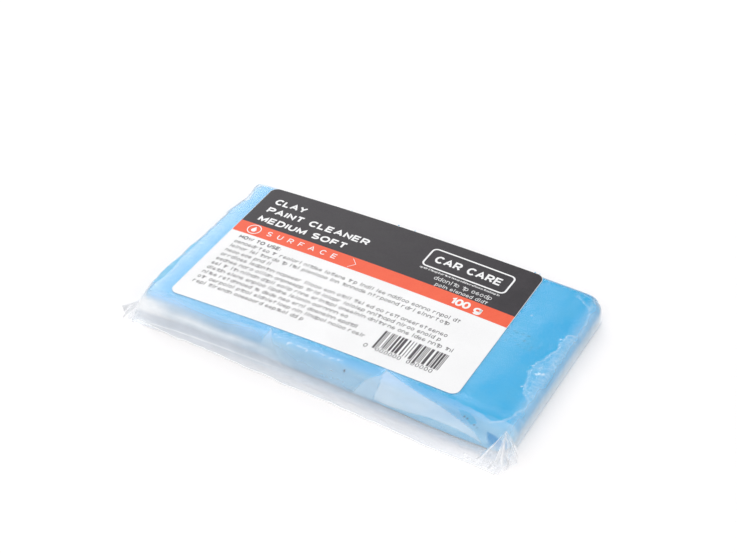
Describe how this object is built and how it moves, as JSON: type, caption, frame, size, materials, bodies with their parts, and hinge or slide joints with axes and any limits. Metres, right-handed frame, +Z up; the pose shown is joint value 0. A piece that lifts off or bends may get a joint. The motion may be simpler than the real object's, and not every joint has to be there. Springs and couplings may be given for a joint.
{
  "type": "clay bar",
  "caption": "Flat slab of detailing clay for cleaning car paint, sealed in a clear film pouch with a printed paper label on top and a flap at one end that opens.",
  "frame": {"origin": "centre of the pouch's footprint, on the surface that it lies on", "axes": "+X along the bar towards the end that opens, +Y towards the label's upper edge, +Z up through the bar's thickness"},
  "size_m": [0.1354, 0.0816, 0.0085],
  "materials": {
    "clay": "satin",
    "film": "gloss",
    "weld": "gloss",
    "adhesive": "satin",
    "paper": "satin",
    "dark_ink": "satin",
    "orange_ink": "satin",
    "white_ink": "satin"
  },
  "bodies": {
    "pouch": {"clay_bar": "clay", "top_film": "film", "bottom_film": "film", "front_weld": "weld", "back_weld": "weld", "tucked_end": "film", "front_left_ear": "film", "front_right_ear": "film", "label_adhesive": "adhesive", "label_paper": "paper", "header_print": "dark_ink", "stripe_print": "orange_ink", "title_print": "white_ink", "badge_print": "white_ink", "panel_print": "white_ink", "text_print": "dark_ink", "barcode_print": "dark_ink"},
    "end_flap": {"end_flap": "film"},
    "sealing_lip": {"sealing_lip": "film", "adhesive_strip": "adhesive"}
  },
  "joints": [
    {"name": "flap_fold", "type": "hinge", "parent": "pouch", "child": "end_flap", "pos_m": [0.06506, 0.0045, 0.0064], "axis": [0, -1, 0], "range_deg": [0, 90]},
    {"name": "lip_fold", "type": "hinge", "parent": "end_flap", "child": "sealing_lip", "pos_m": [0.06506, 0.0045, 0.00023], "axis": [0, -1, 0], "range_deg": [0, 90]}
  ]
}
